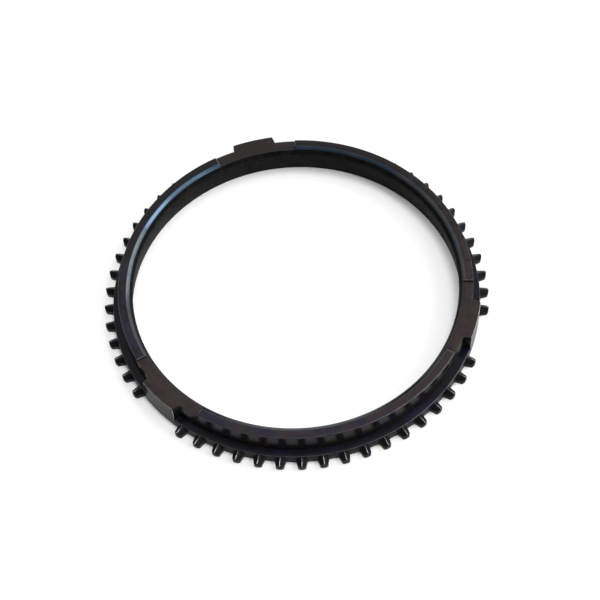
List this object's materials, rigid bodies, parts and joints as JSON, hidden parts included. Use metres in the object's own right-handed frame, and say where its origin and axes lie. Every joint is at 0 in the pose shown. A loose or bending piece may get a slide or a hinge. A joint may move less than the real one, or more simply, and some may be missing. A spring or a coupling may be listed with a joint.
{
  "type": "synchronizer ring",
  "caption": "Blackened steel synchronizer ring with an inner friction cone, a toothed flange round its foot and guide lugs on its outer wall, for matching gear speeds.",
  "frame": {"origin": "centre of the ring's axis on its flat toothed face", "axes": "+Z along the ring's axis, from the toothed face to the hub face; +Y through the middle of a guide lug"},
  "size_m": [0.1468, 0.1459, 0.0131],
  "materials": {
    "ring_steel": "black oxide with temper colours, satin top face, polished bevels and teeth, matt cone"
  },
  "bodies": {
    "root": {"synchronizer_ring": "ring_steel"}
  },
  "joints": []
}
